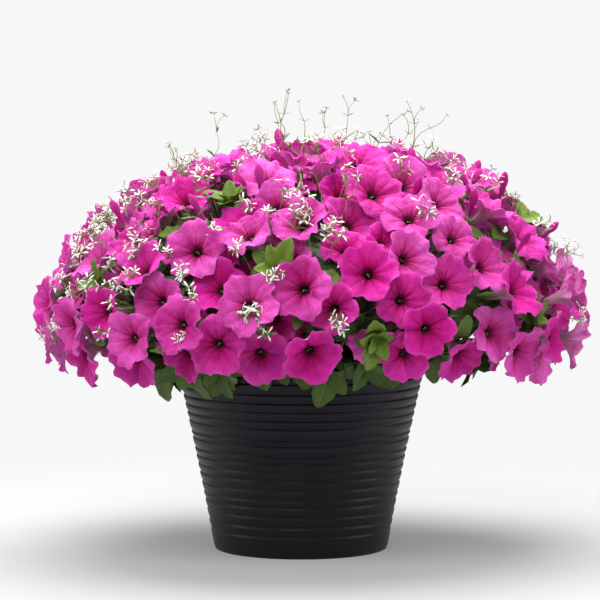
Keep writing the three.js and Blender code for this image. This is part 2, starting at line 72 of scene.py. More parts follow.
# Two directions square to an axis, turned about it by an angle
def across(axis, angle):
    side = up if abs(axis[2]) < 0.9 else np.array([1.0, 0.0, 0.0])
    a = unit(np.cross(side, axis))
    u = a * math.cos(angle) + np.cross(axis, a) * math.sin(angle)
    return u, np.cross(axis, u)


# The mound that the blooms stand on
mound = {
    "radius": 278,
    "waist": 240,
    "crown": 180,
    "skirt": 64,
    "sideDroop": 0.22,
    "swells": ((2, 0.026, 0.6), (3, 0.018, 2)),  # waves round the mound: how many, how high, and their phase
    "shift": 8,  # the whole mound has grown a little to the right of the pot's axis
    "crownShift": 18,  # and its crown further
    "lastAngle": math.radians(119),
}


# How far out and how high the mound's surface lies, from the crown at 0 round to the underside
def outline(phi, theta):
    rise = math.cos(phi)
    swell = sum((size * math.sin(count * theta + phase) for count, size, phase in mound["swells"]), start=1)
    below = mound["skirt"] * (1 + mound["sideDroop"] * math.cos(2 * theta))
    height = mound["crown"] if rise > 0 else below
    return mound["radius"] * math.sin(phi) * swell, mound["waist"] + rise * height


def moundPoint(phi, theta):
    out, high = outline(phi, theta)
    aside = mound["shift"] + mound["crownShift"] * max(math.cos(phi), 0)
    return polar(out, theta, high) + np.array([aside, 0.0, 0.0])


def moundNormal(phi, theta):
    step = 0.03
    outAbove, highAbove = outline(max(phi - step, 0.001), theta)
    outBelow, highBelow = outline(phi + step, theta)
    return unit(polar(highAbove - highBelow, theta, outBelow - outAbove))


# Spots spread evenly over the mound's area, each turned on by the golden angle
def moundSpots(count):
    steps = 400
    area = [0]
    for i in range(steps):
        a = outline(i / steps * mound["lastAngle"], 0)
        b = outline((i + 1) / steps * mound["lastAngle"], 0)
        area.append(area[i] + (a[0] + b[0]) / 2 * math.dist(a, b))
    spots = []
    step = 0
    for i in range(count):
        wanted = (i + 0.5) / count * area[steps]
        while area[step + 1] < wanted:
            step += 1
        share = (wanted - area[step]) / (area[step + 1] - area[step])
        phi = (step + share) / steps * mound["lastAngle"]
        spots.append(SimpleNamespace(index=i, phi=phi, theta=i * goldenAngle % turn))
    return spots


# Where blooms, leaves and sprays stand
plan = {
    "spots": 200,
    "jitterRound": 7,
    "jitterDown": 6,
    "leastRing": 30,
    "tuftEvery": 9,
    "tuftFirst": 5,
    "sprayEvery": 11,
    "sprayFirst": 3,
    "sprayWidest": math.radians(98),
    "bunches": 34,
    "bunchDepth": 72,
    "coreLength": 14,
    "rootSink": 2.5,
    "rootRing": 3.2,
}
bloom = {
    "smallest": 28,
    "largest": 33,
    "throatShare": 0.33,
    "throatDrop": 6.5,
    "throatDepth": 24,
    "notch": 0.13,
    "wave": (0.06, 0.07),  # least, and how much more there may be, as shares of the radius
    "secondWave": 0.05,
    "curl": (0.02, 0.1),
    "outward": 0.3,
    "droop": 0.35,
    "tilt": 0.27,
    "proud": 5,
    "uneven": 6,
    "sinkStep": 3,
    "sinkSteps": 12,
    "clearance": 2,
    "settleStep": 1.5,
    "settleSteps": 10,
    "corners": 10,  # of a rim in the frame
    "cornerNear": 0.3,
    "cornersFound": 3,
    "rimReach": 1.06,  # a point touches the limb up to this share of the radius
    "ringShares": (1, 0.65),
    "neckShares": (0.3, 0.55),
    "apart": 2.4,  # only blooms less than so many radii apart are tested
    "tubeFrom": 0.08,
    "tubeRadius": 1.5,
    "tubeFlare": 8,
    "tubeTaper": 1.4,
    "farthest": 112,  # points further from the centre than this don't count
}
cornerAngles = np.arange(bloom["corners"]) * turn / bloom["corners"]


def makeBunches():
    bunches = moundSpots(plan["bunches"])
    for core in bunches:
        core.axis = moundNormal(core.phi, core.theta)
        core.face = moundPoint(core.phi, core.theta)
        core.foot = core.face - core.axis * plan["bunchDepth"]
    return bunches


def nearestBunch(p):
    return min(bunches, key=lambda core: math.dist(core.face, p))


def kindOf(i, phi):
    if i % plan["tuftEvery"] == plan["tuftFirst"]:
        return "tuft"
    isSpray = i % plan["sprayEvery"] == plan["sprayFirst"] and phi < plan["sprayWidest"]
    return "spray" if isSpray else "bloom"


def settleSpot(spot):
    spot.normal = moundNormal(spot.phi, spot.theta)
    spot.face = moundPoint(spot.phi, spot.theta)
    facing = spot.normal.copy()
    if facing[2] < 0:
        facing[2] *= bloom["droop"]
    spot.facing = unit(facing)
    spot.bunch = nearestBunch(spot.face)
    return spot


def makeSpots():
    spots = moundSpots(plan["spots"])
    for spot in spots:
        ring = max(mound["radius"] * math.sin(spot.phi), plan["leastRing"])
        spot.kind = kindOf(spot.index, spot.phi)
        spot.theta += plan["jitterRound"] * swing(spot.index, 2) / ring
        spot.phi += plan["jitterDown"] * swing(spot.index, 1) / mound["radius"]
        settleSpot(spot)
    return spots


def makeBloom(spot):
    i = spot.index
    core = spot.bunch
    sideA, sideB = across(spot.normal, 0)
    tilt = bloom["tilt"] * (1 + max(0, math.cos(spot.phi)))
    axis = spot.facing + polar(1, spot.theta, 0) * bloom["outward"] * math.sin(spot.phi)
    axis = unit(axis + sideA * tilt * swing(i, 3) + sideB * tilt * swing(i, 4))
    u, v = across(axis, turn * draw(i, 5))
    aside = spot.face - core.face
    away = unit(aside - core.axis * (aside @ core.axis))
    root = core.foot + core.axis * (plan["coreLength"] - plan["rootSink"]) + away * plan["rootRing"]
    return SimpleNamespace(
        index=i, spot=spot, bunch=core, axis=axis, u=u, v=v, root=root, centre=spot.face,
        radius=between(bloom["smallest"], bloom["largest"], i, 6),
        wave=bloom["wave"][0] + bloom["wave"][1] * draw(i, 7), phase=turn * draw(i, 8),
        curl=bloom["curl"][0] + bloom["curl"][1] * draw(i, 9),
    )


# The rim of a bloom's five lobes: how far it reaches, and how high it rises over the limb's plane
def rimOf(b, angle):
    notch = (0.5 - 0.5 * np.cos(5 * angle)) ** 2
    wave = b.wave * np.sin(2 * angle + b.phase) + bloom["secondWave"] * np.sin(3 * angle + 2 * b.phase)
    return b.radius * (1 - bloom["notch"] * notch), b.radius * (wave - b.curl * (1 - notch))


def limbRise(b, share, angle):
    throat = bloom["throatShare"]
    drop = bloom["throatDrop"]
    deep = bloom["throatDepth"]
    dip = np.where(share > throat, -drop * (1 - share) / (1 - throat), (deep - drop) * share / throat - deep)
    return dip + share * share * rimOf(b, angle)[1]


def onBloom(b, reach, angle, rise):
    flat = np.outer(reach * np.cos(angle), b.u) + np.outer(reach * np.sin(angle), b.v)
    return b.centre + flat + np.outer(rise, b.axis)


# Whether any of some points comes too near to a bloom's limb or, unless only that counts, to its tube
def touches(points, b, clearance, limbOnly=False):
    d = points - b.centre
    far = np.linalg.norm(d, axis=1)
    x = d @ b.u
    y = d @ b.v
    share = np.hypot(x, y) / b.radius
    rise = d @ b.axis - limbRise(b, np.minimum(share, 1), np.arctan2(y, x))
    inLimb = (share < bloom["rimReach"]) & (np.abs(rise) < clearance)
    if limbOnly:
        return bool(np.any(inLimb))
    tube = b.root - b.centre
    along = np.clip(d @ tube / (tube @ tube), bloom["tubeFrom"], 1)
    thick = bloom["tubeRadius"] + bloom["tubeFlare"] * (1 - along) ** bloom["tubeTaper"]
    inTube = np.linalg.norm(d - np.outer(along, tube), axis=1) < thick + clearance
    return bool(np.any((far <= bloom["farthest"]) & (inLimb | inTube)))


def bloomPoints(b):
    reach = rimOf(b, cornerAngles)[0]
    points = [b.centre + (b.root - b.centre) * along for along in bloom["neckShares"]]
    for share in bloom["ringShares"]:
        rise = limbRise(b, np.full(len(reach), share), cornerAngles)
        points += [*onBloom(b, reach * share, cornerAngles, rise)]
    return np.vstack(points)


def bloomsTouch(a, b):
    if math.dist(a.centre, b.centre) > bloom["apart"] * bloom["largest"]:
        return False
    clearance = bloom["clearance"]
    return touches(bloomPoints(a), b, clearance) or touches(bloomPoints(b), a, clearance)


def makeBlooms():
    wanted = [makeBloom(spot) for spot in spots if spot.kind == "bloom"]
    placed = []
    for b in sorted(wanted, key=lambda one: draw(one.index, 10)):
        for k in range(bloom["sinkSteps"] + 1):
            rise = bloom["proud"] - bloom["uneven"] * draw(b.index, 12) - k * bloom["sinkStep"]
            b.centre = b.spot.face + b.spot.facing * rise
            if not any(bloomsTouch(b, other) for other in placed):
                placed.append(b)
                break
    return sorted(placed, key=lambda one: one.index)


def numbered(name, k):
    return f"{name}_{k + 1:02d}"


# The frame says how deep each bloom has settled among its neighbours: its rim corners are found there
def settle(b):
    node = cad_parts[numbered("bloom_bunch", b.bunch.index)].data
    corners = np.array([v.co for v in node.vertices]) / mm
    reach, rise = rimOf(b, cornerAngles)
    start = b.centre
    found = []
    for k in range(bloom["settleSteps"]):
        b.centre = start - b.spot.facing * bloom["settleStep"] * k
        rim = onBloom(b, reach, cornerAngles, rise)
        far = np.linalg.norm(rim[:, None] - corners[None], axis=2).min(axis=1)
        found.append((int((far < bloom["cornerNear"]).sum()), -k))
    matches, k = max(found)
    b.centre = start + b.spot.facing * bloom["settleStep"] * k
    return matches >= bloom["cornersFound"]


bunches = makeBunches()
spots = makeSpots()
blooms = [b for b in makeBlooms() if settle(b)]
print("blooms that stand in the frame:", len(blooms))


def smoothAll(bm):
    for face in bm.faces:
        face.smooth = True


# Forms: each is made once by mesh operators, and its copies are bent into place
def keepForm(bm):
    smoothAll(bm)
    mesh = bpy.data.meshes.new("form")
    bm.to_mesh(mesh)
    bm.free()
    mesh.attributes.new("mark", "FLOAT_VECTOR", "POINT")
    co = np.empty(len(mesh.vertices) * 3)
    mesh.vertices.foreach_get("co", co)
    return SimpleNamespace(mesh=mesh, co=co.reshape(-1, 3))


def addCopy(bm, form, places, marks):
    copy = form.mesh.copy()
    copy.vertices.foreach_set("co", np.ascontiguousarray(places, np.float32).ravel())
    copy.attributes["mark"].data.foreach_set("vector", np.ascontiguousarray(marks, np.float32).ravel())
    bm.from_mesh(copy)
    bpy.data.meshes.remove(copy)


# A profile turned about the Z axis
def spun(profile, steps):
    bm = bmesh.new()
    verts = [bm.verts.new((r, 0, z)) for r, z in profile]
    edges = [bm.edges.new(pair) for pair in zip(verts, verts[1:])]
    geom = verts + edges
    bmesh.ops.spin(bm, geom=geom, cent=(0, 0, 0), axis=(0, 0, 1), angle=turn, steps=steps, use_merge=True)
    bmesh.ops.remove_doubles(bm, verts=bm.verts, dist=0.0005)
    bmesh.ops.recalc_face_normals(bm, faces=bm.faces)
    return bm


def makeTubeForm(rings, sides):
    bm = bmesh.new()
    length = rings - 1
    bmesh.ops.create_cone(bm, cap_ends=True, segments=sides, radius1=1, radius2=1, depth=length)
    bmesh.ops.translate(bm, vec=(0, 0, length / 2), verts=bm.verts)
    for n in range(1, length):
        geom = bm.verts[:] + bm.edges[:] + bm.faces[:]
        bmesh.ops.bisect_plane(bm, geom=geom, plane_co=(0, 0, n), plane_no=(0, 0, 1))
    return keepForm(bm)


tubeForms = {}


# A round tube through points, with a radius at each
def addTube(bm, points, radii, sides, tint=0.5):
    key = (len(points), sides)
    if key not in tubeForms:
        tubeForms[key] = makeTubeForm(*key)
    form = tubeForms[key]
    points = np.array(points)
    ways = np.gradient(points, axis=0)
    u = None
    sidesA, sidesB = [], []
    for way in ways:
        way = unit(way)
        u = across(way, 0)[0] if u is None else unit(u - way * (u @ way))
        sidesA.append(u)
        sidesB.append(np.cross(way, u))
    ring = np.rint(form.co[:, 2]).astype(int)
    wide = np.array(radii)[ring][:, None]
    flat = np.array(sidesA)[ring] * form.co[:, :1] + np.array(sidesB)[ring] * form.co[:, 1:2]
    marks = np.column_stack([ring / (len(points) - 1), form.co[:, 0], np.full(len(ring), tint)])
    addCopy(bm, form, points[ring] + flat * wide, marks)


# Points along a soft curve through a start, a middle and an end
def bow(start, middle, end, count):
    t = np.linspace(0, 1, count)[:, None]
    return (1 - t) ** 2 * start + 2 * t * (1 - t) * middle + t ** 2 * end


# A blade from base to tip along X, one long and rounded as the powers say, on a short stalk
def makeBladeForm(along, wide, width, fullness, lean, thickness):
    bm = bmesh.new()
    bmesh.ops.create_grid(bm, x_segments=along, y_segments=wide, size=1)
    for v in bm.verts:
        s = 0.5 - 0.5 * math.cos(math.pi * (v.co.x + 1) / 2)
        half = width / 2 * max(math.sin(math.pi * s ** lean), 0) ** fullness + 0.03 * (1 - s)
        v.co = (s, v.co.y * half, 0)
    bmesh.ops.remove_doubles(bm, verts=bm.verts, dist=0.002)
    bmesh.ops.recalc_face_normals(bm, faces=bm.faces)
    bmesh.ops.solidify(bm, geom=bm.faces[:], thickness=thickness)
    bmesh.ops.recalc_face_normals(bm, faces=bm.faces)
    return keepForm(bm)


# A blade laid along its way with its top to a face direction, folded along the midrib and drooping
def addBlade(bm, form, base, way, face, length, tint, fold=0.3, droop=0.15, ripple=0.0):
    along = unit(way)
    side = unit(np.cross(face, along))
    top = np.cross(along, side)
    s, y, z = form.co.T
    rise = z + fold * np.abs(y) - droop * s * s + ripple * np.sin(19 * s + 40 * tint) * y * 2
    places = base + length * (np.outer(s, along) + np.outer(y, side) + np.outer(rise, top))
    addCopy(bm, form, places, np.column_stack([s, y, np.full(len(s), tint)]))


def addObject(name, data):
    made = bpy.data.objects.new(name, data)
    bpy.context.scene.collection.objects.link(made)
    return made


def addMesh(name, bm, materials):
    mesh = bpy.data.meshes.new(name)
    bm.to_mesh(mesh)
    bm.free()
    for material in materials:
        mesh.materials.append(material)
    return addObject(name, mesh)


def finishPiece(name, bm, materials, nodes):
    bmesh.ops.scale(bm, vec=(mm, mm, mm), verts=bm.verts)
    piece = addMesh(name, bm, materials)
    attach(piece, "root")
    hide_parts(*nodes)


# Small helpers for the node trees
def newMaterial(name, roughness, **constants):
    material = bpy.data.materials.new(name)
    material.use_nodes = True
    tree = material.node_tree
    shader = tree.nodes["Principled BSDF"]
    shader.inputs["Roughness"].default_value = roughness
    for socket, value in constants.items():
        shader.inputs[socket.replace("_", " ")].default_value = value
    return material, tree, shader


def addNode(tree, kind, **settings):
    made = tree.nodes.new("ShaderNode" + kind)
    for key, value in settings.items():
        setattr(made, key, value)
    return made


def feed(tree, socket, value):
    if hasattr(value, "is_output"):
        tree.links.new(value, socket)
    else:
        socket.default_value = value


def calc(tree, operation, *values, clamp=False):
    made = addNode(tree, "Math", operation=operation, use_clamp=clamp)
    for socket, value in zip(made.inputs, values):
        feed(tree, socket, value)
    return made.outputs[0]


def times(tree, a, b):
    return calc(tree, "MULTIPLY", a, b)


# A value scaled and shifted, and kept between 0 and 1
def graded(tree, value, scale, shift):
    return calc(tree, "MULTIPLY_ADD", value, scale, shift, clamp=True)


def mixColour(tree, share, a, b):
    made = addNode(tree, "Mix", data_type="RGBA")
    feed(tree, made.inputs["Factor"], share)
    feed(tree, made.inputs[6], a if hasattr(a, "is_output") else (*a, 1))
    feed(tree, made.inputs[7], b if hasattr(b, "is_output") else (*b, 1))
    return made.outputs[2]


def colourRamp(tree, share, stops):
    made = addNode(tree, "ValToRGB")
    elements = made.color_ramp.elements
    while len(elements) < len(stops):
        elements.new(0.5)
    for element, (place, colour) in zip(elements, stops):
        element.position = place
        element.color = (*colour, 1)
    feed(tree, made.inputs[0], share)
    return made.outputs[0]


def noiseOf(tree, vector, scale, detail=3):
    made = addNode(tree, "TexNoise")
    feed(tree, made.inputs["Vector"], vector)
    made.inputs["Scale"].default_value = scale
    made.inputs["Detail"].default_value = detail
    return made.outputs[0]


def bumpOf(tree, height, strength, distance):
    made = addNode(tree, "Bump")
    made.inputs["Strength"].default_value = strength
    made.inputs["Distance"].default_value = distance
    feed(tree, made.inputs["Height"], height)
    return made.outputs[0]


def markOf(tree):
    made = addNode(tree, "Attribute", attribute_name="mark")
    parts = addNode(tree, "SeparateXYZ")
    tree.links.new(made.outputs["Vector"], parts.inputs[0])
    return made.outputs["Vector"], *parts.outputs


def objectPlace(tree):
    return addNode(tree, "TexCoord").outputs["Object"]


# Smaller blooms, half hidden, that fill the mound between the others
filler = {
    "spots": 330,
    "firstIndex": 400,
    "turnedBy": 0.35,  # from the spots of the larger blooms
    "first": 6,  # how deep it stands at least
    "step": 2.5,
    "steps": 14,
    "smallest": 0.66,
    "largest": 0.9,
}


def makeFillers():
    fillers = []
    for spot in moundSpots(filler["spots"]):
        spot.index += filler["firstIndex"]
        spot.theta += filler["turnedBy"]
        b = makeBloom(settleSpot(spot))
        b.radius *= between(filler["smallest"], filler["largest"], spot.index, 13)
        for k in range(filler["steps"]):
            b.centre = spot.face - spot.facing * (filler["first"] + k * filler["step"])
            if not any(bloomsTouch(b, other) for other in blooms + fillers):
                fillers.append(b)
                break
    return fillers


fillers = makeFillers()
print("smaller blooms between them:", len(fillers))

# Blooms
bloomLook = {
    "steps": 50,
    "nominal": 31,  # radius of the form
    "stalkEnd": 66,  # depth of the form's stalk
    "bendFrom": 12,  # the tube leaves the limb's axis below this depth
    "puff": 0.055,  # all these are shares of the bloom's radius: how far a lobe swells beside its midrib
    "seam": 0.15,  # how deep the fold between two lobes runs
    "cleft": 0.07,  # how much further than the notch the rim is drawn in there
    "closed": (-0.06, 0.17),  # how far the rim stands forward, as on a bloom that is still opening
    "ruffle": 0.06,
    "ruffles": ((10, 1, 15), (15, 0.8, 16), (7, 0.6, 17)),  # waves round the rim, their share and their draw
    "ragged": 0.02,
    "foldBack": -0.3,  # how far one side of a bloom may bend back
    "foldUp": 0.16,  # or up
    "pink": (0.72, 0.020, 0.37),
    "deepPink": (0.38, 0.002, 0.165),
    "palePink": (0.85, 0.155, 0.61),
    "mauve": (0.30, 0.006, 0.29),
    "crimson": (0.40, 0.001, 0.10),
    # near black: painted shade deep in the bloom's tube
    "throat": (0.036, 0.014, 0.014),
    "tube": (0.52, 0.24, 0.36),
    "back": (0.70, 0.10, 0.48),
    "backPale": (0.88, 0.36, 0.70),
    "calyx": ((0.10, 0.17, 0.03), (0.20, 0.30, 0.07)),
    "anther": ((0.13, 0.13, 0.06), (0.25, 0.26, 0.14)),
}
limbProfile = [
    (0, -26), (2.0, -22), (3.2, -16), (4.9, -11.4), (7.8, -8), (11.5, -5.6), (16, -3.5), (20.5, -1.9),
    (24.5, -0.9), (27.5, -0.4), (29.6, -0.4), (31, -0.9),
    (31, -1.5), (27.5, -1.5), (22, -2.6), (16.5, -4.5), (12, -7), (8, -10.6), (6, -17), (4.2, -26), (3, -36),
    (0, -38),
]
backFirst = 12  # the first profile point of the bloom's back
calyxProfile = [
    (0, -66), (1.3, -66), (1.2, -56), (1.3, -46), (3.2, -41), (4.3, -37), (5.4, -30), (6.4, -23),
    (5.9, -23), (4.8, -31), (3.6, -36), (0, -36),
]
budProfile = [
    (0, 0), (1.3, 0.5), (1.5, 9), (2.4, 16), (2.9, 23), (4.3, 29), (4.6, 34), (3.2, 39), (1.2, 42), (0, 42.5),
]
budLook = {
    "spots": 120,
    "firstIndex": 800,
    "turnedBy": 0.9,
    "most": 24,
    "length": 34,
    "size": (0.75, 1.1),
    "sunk": (14, 20),
    "lean": 0.6,
    "rise": 0.3,
    "near": 80,  # only blooms nearer than this are tested
    "clearBy": 4,
    "fluting": 0.16,
    "twist": 0.14,
    "stalkRadii": [1.0, 1.0, 1.0, 1.0, 1.2, 1.8, 2.3],
}


def makeLimbForm():
    bm = spun(limbProfile, bloomLook["steps"])
    for edge in bm.edges:
        onRim = all(abs(math.hypot(v.co.x, v.co.y) - bloomLook["nominal"]) < 0.01 for v in edge.verts)
        if onRim and abs(edge.verts[0].co.z - edge.verts[1].co.z) < 0.01:
            edge.smooth = False
    return keepForm(bm)


# The green calyx behind a bloom: five sepals round the tube, on a thin stalk
def makeCalyxForm():
    bm = spun(calyxProfile, 10)
    for v in bm.verts:
        r = math.hypot(v.co.x, v.co.y)
        lobe = math.cos(5 * math.atan2(v.co.y, v.co.x))
        if v.co.z > -32 and lobe < 0:
            v.co.z = -35
            v.co.xy *= 4.4 / max(r, 1)
    return keepForm(bm)


# A furled bud, twisted as it closes
def makeBudForm():
    bm = spun(budProfile, 15)
    for v in bm.verts:
        angle = math.atan2(v.co.y, v.co.x)
        v.co.xy *= 1 + budLook["fluting"] * math.cos(5 * angle + budLook["twist"] * v.co.z)
    return keepForm(bm)


def makeAntherForm():
    bm = bmesh.new()
    for k in range(3):
        blob = bmesh.ops.create_icosphere(bm, subdivisions=1, radius=1.25 - 0.25 * k)["verts"]
        bmesh.ops.translate(bm, vec=polar(1.3, k * goldenAngle, -12.5 - 1.2 * k), verts=blob)
    return keepForm(bm)


limbForm = makeLimbForm()
calyxForm = makeCalyxForm()
antherForm = makeAntherForm()
budForm = makeBudForm()


# How far a bloom's lobes swell, fold and ruffle at a point, as a share of its radius
def unevenLift(b, share, angle):
    i = b.index
    look = bloomLook
    body = 4 * share * np.clip(1 - share, 0, 1)
    seam = (0.5 - 0.5 * np.cos(5 * angle)) ** 3
    lift = look["puff"] * np.abs(np.sin(5 * angle)) ** 0.7 * share * (0.5 + body)
    lift -= look["seam"] * seam * body * between(0.5, 1, i, 14)
    waves = sum(part * np.sin(count * angle + turn * draw(i, use)) for count, part, use in look["ruffles"])
    lift += look["ruffle"] * waves * share ** 4 * between(0.6, 1.3, i, 18)
    lift += share ** 1.6 * between(*look["closed"], i, 29)
    bend = look["foldBack"] + (look["foldUp"] - look["foldBack"]) * draw(i, 19) ** 0.6
    return lift + bend * np.maximum(np.cos(angle - turn * draw(i, 28)), 0) ** 2 * share ** 2.5


# Places of a bloom form's points: the limb is waved and notched, and the tube bends to the bloom's root
def bloomPlaces(b, form):
    x, y, z = form.co.T
    angle = np.arctan2(y, x)
    share = np.hypot(x, y) / bloomLook["nominal"]
    reach, rise = rimOf(b, angle)
    reach = share * (b.radius + (reach - b.radius) * share ** 3)
    ragged = np.sin(13 * angle + 9 * b.phase) + np.sin(21 * angle + 4 * b.phase)
    cleft = (0.5 - 0.5 * np.cos(5 * angle)) ** 5
    reach = reach * (1 + (bloomLook["ragged"] * ragged - bloomLook["cleft"] * cleft) * share ** 4)
    lift = share ** 2 * rise + b.radius * unevenLift(b, share, angle)
    first = bloomLook["bendFrom"]
    deep = np.clip((-z - first) / (bloomLook["stalkEnd"] - first), 0, 1)
    inward = b.root - b.centre
    depth = -(inward @ b.axis)
    aside = inward + b.axis * depth
    height = np.where(deep > 0, -first - deep * (depth - first), z) + lift * (deep <= 0)
    return onBloom(b, reach, angle, height) + np.outer(deep ** 1.5, aside)


def bloomMarks(b, form, isBack):
    flat = form.co[:, :2] / bloomLook["nominal"]
    return np.column_stack([flat, np.full(len(flat), 0.9 * draw(b.index, 11)) + isBack])


def backOf(form):
    r = np.hypot(form.co[:, 0], form.co[:, 1])
    behind = np.zeros(len(r))
    for radius, z in limbProfile[backFirst:]:
        behind[(np.abs(r - radius) < 0.05) & (np.abs(form.co[:, 2] - z) < 0.05)] = 1
    return behind


limbBack = backOf(limbForm)


# Petals: the mark holds the place in the limb, and the side with the bloom's own tint
def petalMaterial():
    material, tree, shader = newMaterial(
        "petal", 0.6, Specular_IOR_Level=0.09, Subsurface_Weight=0.38, Subsurface_Scale=0.004,
        Subsurface_Radius=(1, 0.25, 0.75),
    )
    look = bloomLook
    place, x, y, side = markOf(tree)
    isBack = calc(tree, "GREATER_THAN", side, 0.95)
    tint = calc(tree, "SUBTRACT", side, isBack)
    radius = calc(tree, "SQRT", calc(tree, "ADD", times(tree, x, x), times(tree, y, y)))
    angle = calc(tree, "ARCTAN2", y, x)
    # veins run out from the throat, so their pattern is stretched along the radius
    rays = addNode(tree, "CombineXYZ")
    feed(tree, rays.inputs[0], times(tree, calc(tree, "COSINE", angle), 3.0))
    feed(tree, rays.inputs[1], times(tree, calc(tree, "SINE", angle), 3.0))
    feed(tree, rays.inputs[2], calc(tree, "MULTIPLY_ADD", tint, 40, times(tree, radius, 0.8)))
    veins = graded(tree, noiseOf(tree, rays.outputs[0], 3.6, 3), 3.2, -1.45)
    seam = calc(tree, "ABSOLUTE", calc(tree, "COSINE", times(tree, angle, 2.5)))
    midrib = calc(tree, "ABSOLUTE", calc(tree, "SINE", times(tree, angle, 2.5)))
    nearest = times(tree, calc(tree, "MINIMUM", seam, midrib), times(tree, radius, 13))
    ribs = calc(tree, "SUBTRACT", 1, nearest, clamp=True)
    inward = calc(tree, "SUBTRACT", 1.02, radius, clamp=True)
    star = graded(tree, inward, 2.2, -0.95)
    blush = mixColour(tree, tint, look["pink"], look["palePink"])
    cloud = graded(tree, noiseOf(tree, objectPlace(tree), 26), 2.2, -0.75)
    blush = mixColour(tree, cloud, blush, look["deepPink"])
    mauve = graded(tree, noiseOf(tree, objectPlace(tree), 17), 4, -2.3)
    blush = mixColour(tree, times(tree, mauve, 0.55), blush, look["mauve"])
    edge = graded(tree, radius, 3.0, -2.35)
    blush = mixColour(tree, times(tree, edge, 0.35), blush, look["palePink"])
    lines = times(tree, calc(tree, "MAXIMUM", times(tree, veins, 0.7), ribs), inward)
    starVeins = times(tree, star, calc(tree, "MULTIPLY_ADD", veins, 0.6, 0.6))
    dark = graded(tree, lines, 0.7, starVeins)
    blush = mixColour(tree, dark, blush, look["crimson"])
    # the tube's inside and the funnel's centre are painted near black: painted shade deep in the throat
    throat = graded(tree, radius, 6, -0.6)
    front = mixColour(tree, throat, look["throat"], blush)
    rear = mixColour(tree, graded(tree, veins, 0.5, 0.3), look["backPale"], look["back"])
    tube = graded(tree, radius, -6, 2.2)
    rear = mixColour(tree, tube, rear, look["tube"])
    feed(tree, shader.inputs["Base Color"], mixColour(tree, isBack, front, rear))
    crinkle = calc(tree, "MULTIPLY_ADD", noiseOf(tree, place, 6, 4), 3.4, times(tree, lines, -0.9))
    feed(tree, shader.inputs["Normal"], bumpOf(tree, crinkle, 0.7, 0.0011))
    return material


# A finish that is speckled between two colours
def speckled(name, roughness, scale, dark, light):
    material, tree, shader = newMaterial(name, roughness)
    colour = mixColour(tree, noiseOf(tree, objectPlace(tree), scale), dark, light)
    feed(tree, shader.inputs["Base Color"], colour)
    return material


def paint(bm, first, slot):
    bm.faces.ensure_lookup_table()
    for face in bm.faces[first:]:
        face.material_index = slot


def addPart(bm, form, places, marks, slot):
    first = len(bm.faces)
    addCopy(bm, form, places, marks)
    paint(bm, first, slot)


fourths = np.array([0.25, 0.5, 0.75, 1.0])  # where along its length a bud or leaf is tested


# Whether any of some points touches one of the blooms that stand near a place
def meetsBloom(points, place, near, clearance, limbOnly=False):
    others = [b for b in blooms + fillers if math.dist(b.centre, place) < near]
    return any(touches(points, b, clearance, limbOnly) for b in others)


# Buds stand up between the blooms wherever there is room for one
def makeBuds():
    buds = []
    reach = fourths * budLook["length"]
    for spot in moundSpots(budLook["spots"]):
        i = spot.index + budLook["firstIndex"]
        spot.theta += budLook["turnedBy"]
        settleSpot(spot)
        side = across(spot.normal, turn * draw(i, 33))[0]
        way = unit(spot.normal + side * budLook["lean"] * draw(i, 34) + up * budLook["rise"])
        base = spot.face - spot.normal * between(*budLook["sunk"], i, 35)
        points = base + np.outer(reach, way)
        isClear = not meetsBloom(points, base, budLook["near"], budLook["clearBy"])
        if len(buds) < budLook["most"] and isClear:
            buds.append(SimpleNamespace(index=i, bunch=spot.bunch, base=base, way=way))
    return buds


def addBud(bm, bud):
    u, v = across(bud.way, turn * draw(bud.index, 36))
    size = between(*budLook["size"], bud.index, 37)
    x, y, z = budForm.co.T * size
    places = bud.base + np.outer(x, u) + np.outer(y, v) + np.outer(z, bud.way)
    angle = np.arctan2(y, x)
    tint = np.full(len(x), 0.5 * draw(bud.index, 38))
    marks = np.column_stack([0.8 * np.cos(angle), 0.8 * np.sin(angle), tint])  # as in a bloom's outer limb
    addPart(bm, budForm, places, marks, 0)
    first = len(bm.faces)
    root = bud.bunch.foot + bud.bunch.axis * plan["coreLength"] * 0.6
    stalk = bow(root, bud.base - bud.way * 12, bud.base, 6)
    addTube(bm, [*stalk, bud.base + bud.way * 7 * size], budLook["stalkRadii"], 8)
    paint(bm, first, 1)


def makeBloomPieces():
    calyx = speckled("calyx", 0.6, 300, *bloomLook["calyx"])
    anther = speckled("anther", 0.7, 900, *bloomLook["anther"])
    materials = [petalMaterial(), calyx, anther]
    buds = makeBuds()
    for core in bunches:
        bm = bmesh.new()
        for b in [one for one in blooms + fillers if one.bunch is core]:
            addPart(bm, limbForm, bloomPlaces(b, limbForm), bloomMarks(b, limbForm, limbBack), 0)
            addPart(bm, calyxForm, bloomPlaces(b, calyxForm), bloomMarks(b, calyxForm, 0), 1)
            addPart(bm, antherForm, bloomPlaces(b, antherForm), bloomMarks(b, antherForm, 0), 2)
        for bud in [one for one in buds if one.bunch is core]:
            addBud(bm, bud)
        node = numbered("bloom_bunch", core.index)
        finishPiece(numbered("petunia_blooms", core.index), bm, materials, [node])
    print("bloom pieces:", len(bunches), "with buds:", len(buds))


makeBloomPieces()

# Pot
pot = {
    "height": 205,
    "baseRadius": 91,
    "lean": 0.18,
    "flare": 0.00013,
    "wall": 4,
    "floor": 8,
    "ribs": 19,
    "ribDepth": 1.6,
    "ribJitter": 0.22,  # as a share of their pitch
    "firstRib": 24,
    "lastRib": 192,
    "grooveUnder": 0.8,  # how sharply a groove ends under its middle, and how softly above it
    "grooveOver": 3.0,
    "footHeight": 3,
    "padRadius": 28,
    "footInner": 74,
    "lip": 1.8,
    "lipHeight": 7,
    "edge": 3,
    "steps": 144,
    "levelStep": 0.8,
    "charcoal": (0.0039, 0.0035, 0.0078),
    "charcoalLight": (0.0080, 0.0072, 0.0142),
    # a darker charcoal for the foot: painted shade towards the bottom of the pot
    "charcoalFootShade": (0.0022, 0.0020, 0.0032),
}


def potRadius(z):
    return pot["baseRadius"] + pot["lean"] * z + pot["flare"] * z * z


